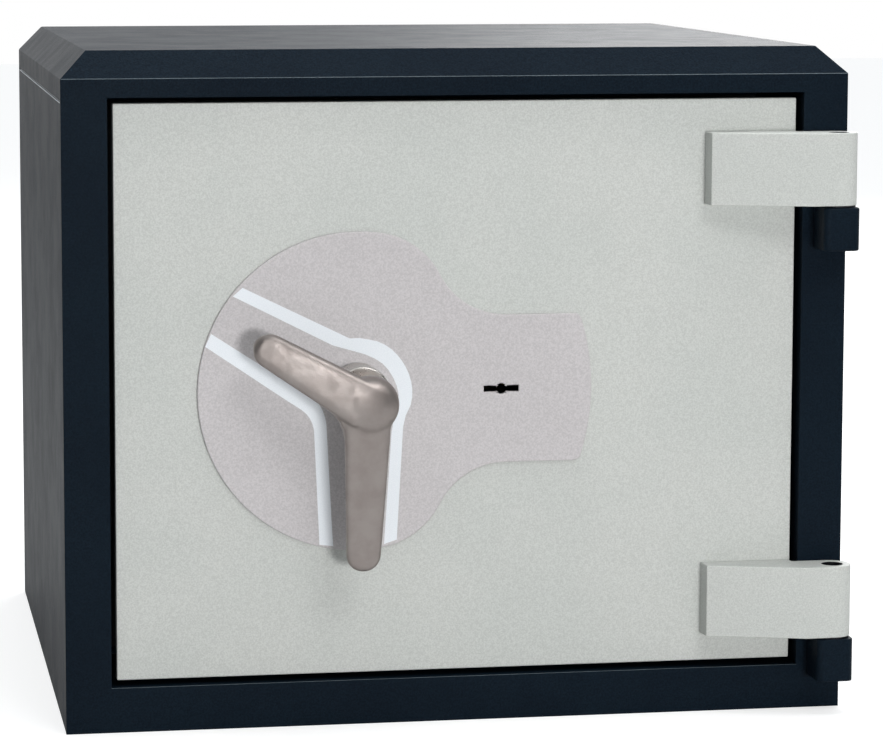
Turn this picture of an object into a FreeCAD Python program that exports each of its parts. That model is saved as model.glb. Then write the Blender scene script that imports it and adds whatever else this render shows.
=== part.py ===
"""A key-locking fire safe built as an assembly of separate steel parts.

Row frame: millimetres, origin at the centre of the underside, X to the right
as seen from the front, Y to the back and Z up. The door is closed, the handle
is upright and the bolts are withdrawn. One STEP file is written for each node.
"""
import FreeCAD
import Part
import Sketcher
import math
import os
import re

Vector = FreeCAD.Vector
Rotation = FreeCAD.Rotation

# Sizes that can be set. Every other measure follows from them.
SIZES = {
    # Cabinet
    "body_width": 445, "body_height": 380, "body_depth": 400, "top_chamfer": 15,
    "casing_sheet": 3, "frame_plate": 4, "wall": 45, "liner_sheet": 2, "rim": 25.5,
    "seam_drop": 27, "seam_groove": 1, "jamb_sheet": 4, "flange_sheet": 3,
    "jamb_depth": 91, "seal_width": 12, "seal_height": 8.5,
    "anchor_bore": 7, "anchor_wall": 3, "anchor_spread": 200, "anchor_drop": 115,
    "anchor_setback": 20, "shelf_height": 188, "shelf_sheet": 2, "shelf_gap": 1,
    "shelf_front": 105, "bracket_width": 12, "bracket_length": 20, "bracket_height": 8,
    # Door
    "door_gap": 3.3, "door_recess": 4.5, "door_sheet": 8, "plug_inset": 13,
    "pan_sheet": 2, "pan_lip": 14, "fill_depth": 29.5, "mechanism_sheet": 3,
    "boltwork_depth": 30, "cover_sheet": 2, "cover_inset": 2, "hard_sheet": 4, "hard_size": 50,
    # Hinges
    "hinge_inset": 8.5, "hinge_reach": 11.5, "barrel_radius": 10.5, "pin_radius": 5.95,
    "pin_clearance": 0.05, "bush_wall": 1, "bush_length": 30, "arm_height": 41,
    "lower_arm": 45, "upper_arm_drop": 47.5, "arm_length": 73, "arm_peak": 17, "arm_root": 11.5,
    "knuckle_height": 24.5, "knuckle_round": 4, "washer_height": 0.9, "washer_gap": 0.1,
    # Outside fittings
    "spindle_left": 58, "spindle_drop": 1, "spindle_radius": 8,
    "shaft_clearance": 0.05, "bush_radius": 11,
    "plate_disc": 90, "plate_tab": 42, "plate_scoop": 42, "plate_lobe": 45,
    "plate_reach": 134, "plate_bulge": 7, "plate_sheet": 2, "lobe_angle": 81,
    "key_offset": 82, "key_slot": 20, "key_slot_height": 3.4, "key_bore": 3,
    "key_tube": 13, "boss_radius": 16.5, "boss_length": 17.5,
    "hub_radius": 16, "hub_gap": 0.5, "hub_length": 27.5, "hub_dome": 2.5,
    "long_arm": 96.5, "long_root": 12.5, "long_tip": 8.75,
    "short_arm": 68.5, "short_root": 13.5, "short_tip": 8.25, "short_arm_angle": 120,
    "arm_drop": 13.5, "arm_tip_thickness": 10, "arm_root_back": 21,
    # Boltwork
    "handle_sweep": 60, "bolt_throw": 22, "crank_gap": 1, "crank_sheet": 5, "crank_radius": 29,
    "crank_pin": 4, "slot_clearance": 0.5, "link_gap": 0.5, "link_sheet": 4, "layer_gap": 1,
    "side_bolt": 10, "end_bolt": 8, "bolt_rest": 2, "bolt_margin": 90,
    "bar_left": 142, "bar_width": 16, "guide_width": 14, "guide_back": 2.5,
    "link_width": 22, "bolt_hole_gap": 0.75, "jamb_hole_gap": 1.5, "dog_radius": 8,
    "dog_hole_gap": 4, "dog_reach": 3, "pillar_radius": 5, "screw_radius": 2,
    "screw_head": 3.9, "screw_head_height": 1.8,
    # Lock
    "key_throw": 10, "drum_radius": 11.5, "lock_wall": 2, "lock_depth": 24,
    "lock_bolt_width": 12, "lock_bolt_gap": 0.5, "lever_sheet": 1.4, "lever_pin": 3,
}

# Measures worked out from the sizes, in the order in which they are needed.
DERIVED = {
    "half_width": "body_width / 2",
    "spindle_height": "body_height / 2 - spindle_drop",
    "upper_arm": "body_height - upper_arm_drop - arm_height",
    "anchor_height": "body_height - anchor_drop",
    "bolt_pitch": "body_height / 2 - bolt_margin",
    "front_y": "-body_depth / 2",
    "rear_y": "body_depth / 2",
    "seam_z": "body_height - seam_drop",
    "inner_chamfer": "top_chamfer - casing_sheet * (2 - sqrt(2))",
    "opening_half": "half_width - rim",
    "opening_top": "body_height - rim",
    "flange_back": "front_y + jamb_depth",
    "flange_front": "flange_back - flange_sheet",
    "inner_half": "half_width - wall",
    "inner_top": "body_height - wall",
    "inner_rear": "rear_y - wall",
    "plate_half": "opening_half - door_gap",
    "plate_bottom": "rim + door_gap",
    "plate_top": "opening_top - door_gap",
    "plate_front": "front_y + door_recess",
    "plate_back": "plate_front + door_sheet",
    "plug_half": "opening_half - plug_inset",
    "plug_bottom": "rim + plug_inset",
    "plug_top": "opening_top - plug_inset",
    "mech_front": "plate_back + fill_depth",
    "mech_back": "mech_front + mechanism_sheet",
    "disc_front": "mech_back + crank_gap",
    "disc_back": "disc_front + crank_sheet",
    "bar_front": "disc_back + link_gap",
    "bar_back": "bar_front + link_sheet",
    "link_front": "bar_back + layer_gap",
    "link_back": "link_front + link_sheet",
    "bolt_y": "(link_front + link_back) / 2",
    "guide_y": "bolt_y + side_bolt + guide_back",
    "lip_front": "mech_back + boltwork_depth",
    "lip_back": "lip_front + pan_sheet",
    "cover_back": "lip_back + cover_sheet",
    "hinge_x": "half_width - hinge_inset",
    "hinge_y": "front_y - hinge_reach",
    "barrel_front": "hinge_y - barrel_radius",
    "barrel_back": "hinge_y + barrel_radius",
    "knuckle_drop": "knuckle_height + washer_height + washer_gap",
    "spindle_x": "-spindle_left",
    "fitting_front": "plate_front - plate_sheet",
    "key_x": "spindle_x + key_offset",
    "key_z": "spindle_height",
    "lobe_x": "(plate_disc - plate_lobe) * cos(lobe_angle)",
    "lobe_z": "(plate_disc - plate_lobe) * sin(lobe_angle)",
    "scoop_z": "plate_tab + plate_scoop",
    "scoop_x": "lobe_x + sqrt((plate_lobe + plate_scoop)^2 - (scoop_z - lobe_z)^2)",
    "blend_z": "lobe_z + plate_lobe * (scoop_z - lobe_z) / (plate_lobe + plate_scoop)",
    "bulge_radius": "(plate_tab^2 + plate_bulge^2) / (2 * plate_bulge)",
    "boss_front": "fitting_front - boss_length",
    "hub_back": "boss_front - hub_gap",
    "hub_front": "hub_back - hub_length",
    "arm_tip_front": "hub_front + arm_drop",
    "pin_circle": "bolt_throw / (2 * sin(handle_sweep / 2))",
    "pin_half_travel": "bolt_throw / 2",
    "pin_low": "pin_circle * cos(handle_sweep / 2)",
    "side_pin_x": "spindle_x + pin_half_travel",
    "side_pin_z": "spindle_height - pin_low",
    "slot_half": "crank_pin + slot_clearance",
    "slot_reach": "pin_circle - pin_low",
    "top_pin_x": "spindle_x - pin_low",
    "top_pin_z": "spindle_height - pin_half_travel",
    "bottom_pin_x": "spindle_x + pin_low",
    "bottom_pin_z": "spindle_height + pin_half_travel",
    "top_link_x": "top_pin_x - slot_reach / 2",
    "bottom_link_x": "bottom_pin_x + slot_reach / 2",
    "side_bolt_end": "-(plug_half + bolt_rest)",
    "side_bolt_root": "-(bar_left - bar_width - 2)",
    "bar_x": "-bar_left",
    "bar_right": "bar_x + bar_width",
    "arm_bottom": "side_pin_z - slot_reach - slot_half - 13.5",
    "arm_top": "arm_bottom + 16",
    "tab_top": "side_pin_z + slot_half + 3",
    "low_bolt_z": "spindle_height - bolt_pitch",
    "high_bolt_z": "spindle_height + bolt_pitch",
    "lock_x": "key_x - 12.5",
    "lock_bottom": "arm_top + 6",
    "lock_top": "lock_bottom + 73",
    "lock_left": "key_x - 31.5",
    "lock_right": "key_x + 34.5",
    "lock_back": "mech_back + lock_depth",
    "drum_crank": "key_throw / sqrt(2)",
    "drum_back": "disc_back - 1",
    "lock_bolt_front": "drum_back + lock_bolt_gap",
    "lock_bolt_back": "lock_bolt_front + 6",
    "lever_x": "lock_right - 10",
    "lever_z": "lock_top - 13",
}

ALIASES = sorted(list(SIZES) + list(DERIVED), key=len, reverse=True)
ALIAS_PATTERN = re.compile(r"\b(" + "|".join(ALIASES) + r")\b")

doc = FreeCAD.newDocument("safe")
sheet = doc.addObject("Spreadsheet::Sheet", "Sizes")
for row, (name, value) in enumerate(SIZES.items(), start=1):
    sheet.set(f"A{row}", name)
    sheet.set(f"B{row}", str(value))
    sheet.setAlias(f"B{row}", name)
for row, (name, formula) in enumerate(DERIVED.items(), start=len(SIZES) + 1):
    sheet.set(f"A{row}", name)
    sheet.set(f"B{row}", "=" + formula)
    sheet.setAlias(f"B{row}", name)
doc.recompute()

NODES = {}


def size(name):
    """The value that the sheet holds for one named measure."""
    return float(sheet.get(name))


def bind(target, prop, formula):
    """Let a property follow a formula over the sheet's names."""
    target.setExpression(prop, ALIAS_PATTERN.sub(r"Sizes.\1", str(formula)))


def place(target, x, y, z):
    """Bind the three coordinates of an object's placement."""
    bind(target, "Placement.Base.x", x)
    bind(target, "Placement.Base.y", y)
    bind(target, "Placement.Base.z", z)


def box(name, x, y, z):
    """A block between pairs of formulas along each axis."""
    block = doc.addObject("Part::Box", name)
    bind(block, "Length", f"({x[1]}) - ({x[0]})")
    bind(block, "Width", f"({y[1]}) - ({y[0]})")
    bind(block, "Height", f"({z[1]}) - ({z[0]})")
    place(block, x[0], y[0], z[0])
    return block


TURNS = {
    "x": Rotation(Vector(0, 1, 0), 90),
    "y": Rotation(Vector(1, 0, 0), -90),
    "z": Rotation(),
}


def rod(name, axis, start, length, radius):
    """A round bar that runs from a point along +X, +Y or +Z."""
    bar = doc.addObject("Part::Cylinder", name)
    bar.Placement = FreeCAD.Placement(Vector(), TURNS[axis])
    bind(bar, "Radius", radius)
    bind(bar, "Height", length)
    place(bar, *start)
    return bar


def cut(name, base, *tools):
    """One solid with others taken out of it."""
    result = doc.addObject("Part::Cut", name)
    result.Base = base
    result.Tool = tools[0] if len(tools) == 1 else fuse(name + "_tools", *tools)
    return result


def fuse(name, *shapes):
    """Several solids joined into one."""
    result = doc.addObject("Part::MultiFuse", name)
    result.Shapes = list(shapes)
    result.Refine = True
    return result


def common(name, first, second):
    """The part that two solids share."""
    result = doc.addObject("Part::Common", name)
    result.Base = first
    result.Tool = second
    return result


def group(name, *shapes):
    """Separate solids that make up one node."""
    result = doc.addObject("Part::Compound", name)
    result.Links = list(shapes)
    return result


def prism(name, plane, points, start, length):
    """A sketched outline padded to a length, as a body of its own."""
    body = doc.addObject("PartDesign::Body", name)
    sketch = body.newObject("Sketcher::SketchObject", name + "_outline")
    support = [item for item in body.Origin.OriginFeatures if item.Role == plane][0]
    sketch.AttachmentSupport = (support, [""])
    sketch.MapMode = "FlatFace"
    count = len(points)
    turn = 2 * math.pi / count
    rough = [Vector(50 * math.cos(turn * i), 50 * math.sin(turn * i), 0) for i in range(count)]
    for i in range(count):
        sketch.addGeometry(Part.LineSegment(rough[i], rough[(i + 1) % count]), False)
    for i in range(count):
        sketch.addConstraint(Sketcher.Constraint("Coincident", i, 2, (i + 1) % count, 1))
    for i, (across, up) in enumerate(points):
        for kind, start_value, formula in (("DistanceX", rough[i].x, across),
                                           ("DistanceY", rough[i].y, up)):
            index = sketch.addConstraint(Sketcher.Constraint(kind, i, 1, start_value))
            bind(sketch, f"Constraints[{index}]", formula)
    pad = body.newObject("PartDesign::Pad", name + "_pad")
    pad.Profile = sketch
    pad.Reversed = plane == "XZ_Plane"
    bind(pad, "Length", length)
    place(body, *start)
    return body


def node(name, feature):
    """Name the finished object of one node."""
    feature.Label = name
    NODES[name] = feature
    return feature


# ---------------------------------------------------------------- cabinet
# The outer envelope carries the chamfers of the top; each skin is a slice of it.
FULL_X = ("-half_width", "half_width")
FULL_Y = ("front_y", "rear_y")
FULL_Z = ("0", "body_height")


def top_edges(shape, half, front, top):
    """Numbers of the front, left and right edges around the top face."""
    chosen = []
    for number, edge in enumerate(shape.Edges, start=1):
        bounds = edge.BoundBox
        level = abs(bounds.ZMin - top) < 0.01 and abs(bounds.ZMax - top) < 0.01
        across = abs(bounds.YMax - front) < 0.01
        side = abs(abs(bounds.XMin) - half) < 0.01 and bounds.XLength < 0.01
        if level and (across or side):
            chosen.append(number)
    return chosen


def chamfered(name, block, half, front, top, amount):
    """A block with its front and side top edges cut at 45 degrees."""
    doc.recompute()
    result = doc.addObject("Part::Chamfer", name)
    result.Base = block
    result.Edges = [(n, amount, amount) for n in top_edges(block.Shape, half, front, top)]
    return result


envelope = chamfered("envelope", box("envelope_block", FULL_X, FULL_Y, FULL_Z),
                     size("half_width"), size("front_y"), size("body_height"),
                     size("top_chamfer"))
core = chamfered("core",
                 box("core_block", ("casing_sheet - half_width", "half_width - casing_sheet"),
                     ("front_y + casing_sheet", "rear_y + 10"),
                     ("casing_sheet", "body_height - casing_sheet")),
                 size("half_width") - size("casing_sheet"),
                 size("front_y") + size("casing_sheet"),
                 size("body_height") - size("casing_sheet"), size("inner_chamfer"))

skin_y = ("front_y + frame_plate", "rear_y - casing_sheet")
anchor_x = ["-anchor_spread / 2", "anchor_spread / 2"]
anchor_radius = "anchor_bore + anchor_wall"


def base_anchor(name, radius):
    """Upright bars at the two fixing points of the floor."""
    return [rod(f"{name}_{i}", "z", (x, "anchor_setback", "0"), "wall", radius)
            for i, x in enumerate(anchor_x)]


def back_anchor(name, radius):
    """Level bars at the two fixing points of the back."""
    return [rod(f"{name}_{i}", "y", (x, "inner_rear", "anchor_height"), "wall", radius)
            for i, x in enumerate(anchor_x)]


lower_region = common("casing_region", envelope,
                      box("casing_slice", FULL_X, skin_y, ("0", "seam_z")))
grooves = [box(f"seam_groove_{side}", edges, skin_y, ("seam_z - seam_groove", "seam_z"))
           for side, edges in (("left", ("-half_width", "seam_groove - half_width")),
                               ("right", ("half_width - seam_groove", "half_width")))]
node("outer_casing", cut("casing_cut", lower_region, core, *grooves,
                         *base_anchor("casing_anchor", anchor_radius)))

upper_region = common("cover_region", envelope,
                      box("cover_slice", FULL_X, skin_y, ("seam_z", "body_height")))
node("top_cover", cut("top_cover_cut", upper_region, core))

back_slice = common("back_region", envelope,
                    box("back_slice", FULL_X, ("rear_y - casing_sheet", "rear_y"), FULL_Z))
node("back_panel", cut("back_cut", back_slice, *back_anchor("panel_anchor", anchor_radius)))

# Front frame: face plate, deep jamb around the door and a flange to the liner.
side_heights = {"low": "low_bolt_z", "middle": "spindle_height", "high": "high_bolt_z"}
jamb_y = ("front_y + frame_plate", "flange_back")
face = common("frame_face", envelope,
              box("frame_slice", FULL_X, ("front_y", "front_y + frame_plate"), FULL_Z))
jamb = box("jamb_block", ("-(opening_half + jamb_sheet)", "opening_half + jamb_sheet"),
           jamb_y, ("rim - jamb_sheet", "opening_top + jamb_sheet"))
opening_space = box("opening_space", ("-opening_half", "opening_half"),
                    ("front_y - 5", "flange_front"), ("rim", "opening_top"))
liner_space = box("liner_space", ("-inner_half", "inner_half"),
                  ("flange_front - 1", "flange_back + 5"), ("wall", "inner_top"))
jamb_holes = []
for level, height in side_heights.items():
    jamb_holes.append(rod(f"jamb_bolt_{level}", "x",
                          ("-(opening_half + jamb_sheet + 1)", "bolt_y", height),
                          "jamb_sheet + 2", "side_bolt + jamb_hole_gap"))
    jamb_holes.append(rod(f"jamb_dog_{level}", "x", ("opening_half - 1", "bolt_y", height),
                          "jamb_sheet + 2", "dog_radius + dog_hole_gap"))
jamb_holes.append(rod("jamb_bolt_top", "z", ("top_link_x", "bolt_y", "opening_top - 1"),
                      "jamb_sheet + 2", "end_bolt + jamb_hole_gap"))
jamb_holes.append(rod("jamb_bolt_bottom", "z",
                      ("bottom_link_x", "bolt_y", "rim - jamb_sheet - 1"),
                      "jamb_sheet + 2", "end_bolt + jamb_hole_gap"))
node("front_frame", cut("frame_cut", fuse("frame_solid", face, jamb),
                        opening_space, liner_space, *jamb_holes))

liner_outer = (("-(inner_half + liner_sheet)", "inner_half + liner_sheet"),
               ("flange_back", "inner_rear + liner_sheet"),
               ("wall - liner_sheet", "inner_top + liner_sheet"))
node("inner_liner", cut("liner_cut", box("liner_block", *liner_outer),
                        box("safe_interior", ("-inner_half", "inner_half"),
                            ("flange_back - 1", "inner_rear"), ("wall", "inner_top")),
                        *base_anchor("liner_base", anchor_radius),
                        *back_anchor("liner_back", anchor_radius)))

fill_region = common("fill_region", core,
                     box("fill_slice", FULL_X, ("flange_back", "rear_y - casing_sheet"), FULL_Z))
node("barrier_fill", cut("fill_cut", fill_region, box("liner_room", *liner_outer),
                         *base_anchor("fill_base", anchor_radius),
                         *back_anchor("fill_back", anchor_radius)))

sleeves = []
for make, name in ((base_anchor, "base_sleeve"), (back_anchor, "back_sleeve")):
    for i, (outside, bore) in enumerate(zip(make(name + "_bar", anchor_radius),
                                            make(name + "_bore", "anchor_bore"))):
        sleeves.append(cut(f"{name}_{i}", outside, bore))
node("anchor_sleeves", group("sleeve_set", *sleeves))

# Shelf on four brackets.
shelf_x = ("shelf_gap - inner_half", "inner_half - shelf_gap")
shelf_y = ("front_y + shelf_front", "inner_rear - 5")
node("shelf", cut("shelf_cut",
                  box("shelf_block", shelf_x, shelf_y,
                      ("shelf_height - 8", "shelf_height + shelf_sheet")),
                  box("shelf_under", shelf_x,
                      ("front_y + shelf_front + shelf_sheet", "inner_rear - 5"),
                      ("shelf_height - 9", "shelf_height"))))
brackets = []
for side, edges in (("left", ("-inner_half", "bracket_width - inner_half")),
                    ("right", ("inner_half - bracket_width", "inner_half"))):
    for end, y in (("front", "front_y + shelf_front + 15"), ("rear", "inner_rear - 45")):
        brackets.append(box(f"bracket_{side}_{end}", edges, (y, f"{y} + bracket_length"),
                            ("shelf_height - bracket_height", "shelf_height")))
node("shelf_brackets", group("bracket_set", *brackets))

# Seal around the flange.
seal_y = ("flange_front - seal_height", "flange_front")
node("door_seal", cut("seal_cut",
                      box("seal_block", ("6 - opening_half", "opening_half - 6"), seal_y,
                          ("rim + 6", "opening_top - 6")),
                      box("seal_space", ("6 + seal_width - opening_half",
                                         "opening_half - 6 - seal_width"),
                          ("flange_front - seal_height - 1", "flange_front + 1"),
                          ("rim + 6 + seal_width", "opening_top - 6 - seal_width"))))

# ---------------------------------------------------------------- hinges
bushes = []
washers = []
for name, arm_z in (("lower", "lower_arm"), ("upper", "upper_arm")):
    knuckle_z = f"{arm_z} - knuckle_drop"
    block = box(f"{name}_knuckle_block", ("hinge_x - barrel_radius", "hinge_x + barrel_radius"),
                ("barrel_front + knuckle_round", "front_y"),
                (knuckle_z, f"{knuckle_z} + knuckle_height"))
    nose = box(f"{name}_knuckle_nose",
               ("hinge_x - barrel_radius + knuckle_round",
                "hinge_x + barrel_radius - knuckle_round"), ("barrel_front", "front_y"),
               (knuckle_z, f"{knuckle_z} + knuckle_height"))
    corners = [rod(f"{name}_knuckle_corner_{side}", "z",
                   (f"hinge_x {sign} (barrel_radius - knuckle_round)",
                    "barrel_front + knuckle_round", knuckle_z),
                   "knuckle_height", "knuckle_round") for side, sign in (("left", "-"),
                                                                         ("right", "+"))]
    bore = rod(f"{name}_knuckle_bore", "z", ("hinge_x", "hinge_y", f"{knuckle_z} - 1"),
               "knuckle_height + 2", "pin_radius")
    node(f"{name}_hinge_knuckle",
         cut(f"{name}_knuckle_cut", fuse(f"{name}_knuckle_solid", block, nose, *corners), bore))
    node(f"{name}_hinge_pin",
         rod(f"{name}_pin", "z", ("hinge_x", "hinge_y", f"{knuckle_z} + 1"),
             "knuckle_drop + arm_height - 5", "pin_radius"))
    washer_z = f"{arm_z} - washer_height - washer_gap"
    washers.append(cut(f"{name}_washer",
                       rod(f"{name}_washer_disc", "z", ("hinge_x", "hinge_y", washer_z),
                           "washer_height", "barrel_radius - 0.5"),
                       rod(f"{name}_washer_hole", "z", ("hinge_x", "hinge_y", f"{washer_z} - 1"),
                           "washer_height + 2", "pin_radius")))
    # The arm lies on the door, rises to a crest and ends in the barrel.
    outline = [("hinge_x - arm_length", "plate_front"),
               ("hinge_x - arm_length + 0.8", "plate_front - arm_root"),
               ("hinge_x - arm_peak", "barrel_front - 0.5"),
               ("hinge_x", "barrel_front"),
               ("hinge_x", "barrel_back"),
               ("plate_half - 0.2", "barrel_back"),
               ("plate_half - 1.2", "plate_front")]
    strap = prism(f"{name}_arm_strap", "XY_Plane", outline, ("0", "0", arm_z), "arm_height")
    end = rod(f"{name}_arm_barrel", "z", ("hinge_x", "hinge_y", arm_z), "arm_height",
              "barrel_radius")
    bush_room = rod(f"{name}_bush_room", "z", ("hinge_x", "hinge_y", f"{arm_z} - 1"),
                    "bush_length + 1", "pin_radius + pin_clearance + bush_wall")
    through = rod(f"{name}_arm_bore", "z", ("hinge_x", "hinge_y", f"{arm_z} - 1"),
                  "arm_height + 2", "pin_radius + pin_clearance")
    node(f"{name}_hinge_arm",
         cut(f"{name}_arm_cut", fuse(f"{name}_arm_solid", strap, end), bush_room, through))
    bushes.append(cut(f"{name}_bush",
                      rod(f"{name}_bush_bar", "z", ("hinge_x", "hinge_y", arm_z), "bush_length",
                          "pin_radius + pin_clearance + bush_wall"),
                      rod(f"{name}_bush_bore", "z", ("hinge_x", "hinge_y", f"{arm_z} - 1"),
                          "bush_length + 2", "pin_radius + pin_clearance")))
node("hinge_bushes", group("bush_set", *bushes))
node("hinge_washers", group("washer_set", *washers))


# ---------------------------------------------------------------- door
def door_bore(name, x, z, radius, start="fitting_front - 1", stop="mech_back + 1"):
    """A hole through the door along Y."""
    return rod(name, "y", (x, start, z), f"({stop}) - ({start})", radius)


def spindle_bore(name, radius, **span):
    """A hole on the handle's axis."""
    return door_bore(name, "spindle_x", "spindle_height", radius, **span)


def key_hole(name, **span):
    """The slot and round centre that the double-bit key passes through."""
    start = span.get("start", "fitting_front - 1")
    stop = span.get("stop", "mech_back + 1")
    slot = box(name + "_slot", ("key_x - key_slot / 2", "key_x + key_slot / 2"), (start, stop),
               ("key_z - key_slot_height / 2", "key_z + key_slot_height / 2"))
    return slot, door_bore(name + "_centre", "key_x", "key_z", "key_bore", **span)


hard_x = ("key_x - hard_size", "key_x + hard_size")
hard_y = ("plate_back", "plate_back + hard_sheet")
hard_z = ("key_z - hard_size", "key_z + hard_size")

node("door_plate", cut("plate_cut",
                       box("plate_block", ("-plate_half", "plate_half"),
                           ("plate_front", "plate_back"), ("plate_bottom", "plate_top")),
                       spindle_bore("plate_spindle", "bush_radius"),
                       door_bore("plate_key", "key_x", "key_z", "key_tube")))

pan_inner_x = ("pan_sheet - plug_half", "plug_half - pan_sheet")
pan_inner_z = ("plug_bottom + pan_sheet", "plug_top - pan_sheet")
pan_holes = []
for level, height in side_heights.items():
    pan_holes.append(rod(f"pan_bolt_{level}", "x", ("-plug_half - 1", "bolt_y", height),
                         "pan_sheet + 2", "side_bolt + bolt_hole_gap"))
    pan_holes.append(rod(f"pan_dog_{level}", "x", ("plug_half - pan_sheet - 1", "bolt_y", height),
                         "pan_sheet + 2", "dog_radius"))
pan_holes.append(rod("pan_bolt_top", "z", ("top_link_x", "bolt_y", "plug_top - pan_sheet - 1"),
                     "pan_sheet + 2", "end_bolt + bolt_hole_gap"))
pan_holes.append(rod("pan_bolt_bottom", "z", ("bottom_link_x", "bolt_y", "plug_bottom - 1"),
                     "pan_sheet + 2", "end_bolt + bolt_hole_gap"))
lip_screws = [(x, z) for x in ("9 - plug_half", "plug_half - 9")
              for z in ("low_bolt_z + 20", "high_bolt_z - 20")]
pillars = [("-110", "plug_bottom + 21.5"), ("-110", "plug_top - 22.5"),
           ("150", "plug_bottom + 21.5"), ("150", "plug_top - 22.5")]


def cover_screw_bore(name, spot):
    """The hole of one screw that holds the rear cover."""
    return rod(name, "y", (spot[0], "lip_front - 8", spot[1]), "20", "screw_radius")


node("door_pan", cut("pan_cut",
                     box("pan_block", ("-plug_half", "plug_half"), ("plate_back", "lip_back"),
                         ("plug_bottom", "plug_top")),
                     box("pan_room", pan_inner_x, ("plate_back - 1", "lip_front"), pan_inner_z),
                     box("pan_mouth", ("pan_lip + pan_sheet - plug_half",
                                       "plug_half - pan_sheet - pan_lip"),
                         ("lip_front - 1", "lip_back + 1"),
                         ("plug_bottom + pan_sheet + pan_lip", "plug_top - pan_sheet - pan_lip")),
                     *pan_holes,
                     *[cover_screw_bore(f"pan_screw_{i}", spot)
                       for i, spot in enumerate(lip_screws)]))

node("door_barrier", cut("barrier_cut",
                         box("barrier_block", pan_inner_x, ("plate_back", "mech_front"),
                             pan_inner_z),
                         box("hard_room", hard_x, hard_y, hard_z),
                         spindle_bore("barrier_spindle", "bush_radius + 0.5"),
                         door_bore("barrier_key", "key_x", "key_z", "key_tube")))
node("hardplate", cut("hard_cut", box("hard_block", hard_x, hard_y, hard_z),
                      door_bore("hard_key", "key_x", "key_z", "key_tube")))
node("mechanism_plate", cut("mechanism_cut",
                            box("mechanism_block", pan_inner_x, ("mech_front", "mech_back"),
                                pan_inner_z),
                            spindle_bore("mechanism_spindle", "bush_radius"),
                            door_bore("mechanism_key", "key_x", "key_z",
                                      "drum_radius + shaft_clearance")))

# Flat cover plate around the handle and keyhole: a disc that flows into a tab.
plate_y = ("fitting_front", "plate_front")


def plate_rod(name, x, z, radius):
    """A round area of the cover plate, measured from the handle's axis."""
    return rod(name, "y", (f"spindle_x + {x}", "fitting_front", f"spindle_height + ({z})"),
               "plate_sheet", radius)


def plate_scoop(name, z):
    """A hollow curve that runs from the disc to the tab."""
    return rod(name, "y", ("spindle_x + scoop_x", "fitting_front - 1", f"spindle_height + ({z})"),
               "plate_sheet + 2", "plate_scoop")


tab = common("plate_tab_area",
             box("plate_tab_block", ("spindle_x", "spindle_x + plate_reach"), plate_y,
                 ("spindle_height - plate_tab", "spindle_height + plate_tab")),
             plate_rod("plate_tab_edge", "(plate_reach - bulge_radius)", "0", "bulge_radius"))
filler = box("plate_filler", ("spindle_x", "spindle_x + scoop_x"), plate_y,
             ("spindle_height - blend_z", "spindle_height + blend_z"))
outline_parts = [plate_rod("plate_disc_area", "0", "0", "plate_disc"),
                 plate_rod("plate_lobe_upper", "lobe_x", "lobe_z", "plate_lobe"),
                 plate_rod("plate_lobe_lower", "lobe_x", "-lobe_z", "plate_lobe"), filler, tab]
node("escutcheon", cut("escutcheon_cut", fuse("escutcheon_solid", *outline_parts),
                       plate_scoop("plate_scoop_upper", "scoop_z"),
                       plate_scoop("plate_scoop_lower", "-scoop_z"),
                       spindle_bore("escutcheon_spindle", "bush_radius"),
                       *key_hole("escutcheon_key")))

node("key_guide", cut("guide_cut",
                      door_bore("guide_bar", "key_x", "key_z", "key_tube",
                                start="plate_front", stop="mech_front"),
                      *key_hole("guide_key")))
node("handle_boss", cut("boss_cut",
                        spindle_bore("boss_bar", "boss_radius",
                                     start="boss_front", stop="fitting_front"),
                        spindle_bore("boss_bore", "spindle_radius + shaft_clearance",
                                     start="boss_front - 1", stop="fitting_front + 1")))

spindle_bush_set = []
for name, start, stop in (("outer", "fitting_front", "plate_back"),
                          ("inner", "mech_front - 2", "mech_back + 0.4")):
    bar = spindle_bore(f"{name}_spindle_bush_bar", "bush_radius", start=start, stop=stop)
    hole = spindle_bore(f"{name}_spindle_bush_bore", "spindle_radius + shaft_clearance",
                        start=f"{start} - 1", stop=f"{stop} + 1")
    spindle_bush_set.append(cut(f"{name}_spindle_bush", bar, hole))
node("spindle_bushes", group("spindle_bush_group", *spindle_bush_set))

posts = []
for i, (x, z) in enumerate(pillars):
    bar = rod(f"pillar_bar_{i}", "y", (x, "mech_back", z), "lip_back - mech_back",
              "pillar_radius")
    posts.append(cut(f"pillar_{i}", bar, cover_screw_bore(f"pillar_screw_{i}", (x, z))))
node("boltwork_pillars", group("pillar_set", *posts))

cover_spots = lip_screws + pillars
node("rear_cover", cut("cover_cut",
                       box("rear_cover_block", ("cover_inset - plug_half",
                                                "plug_half - cover_inset"),
                           ("lip_back", "cover_back"),
                           ("plug_bottom + cover_inset", "plug_top - cover_inset")),
                       *[cover_screw_bore(f"cover_screw_{i}", spot)
                         for i, spot in enumerate(cover_spots)]))


def screw(name, x, z, seat, length, shank="screw_radius", head="screw_head"):
    """A screw along Y whose head lies behind its seat."""
    stem = rod(name + "_shank", "y", (x, f"{seat} - ({length})", z), length, shank)
    cap = rod(name + "_head", "y", (x, seat, z), "screw_head_height", head)
    return fuse(name, stem, cap)


node("rear_cover_screws", group("cover_screw_set",
                                *[screw(f"rear_screw_{i}", x, z, "cover_back", "cover_sheet + 8")
                                  for i, (x, z) in enumerate(cover_spots)]))

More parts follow.
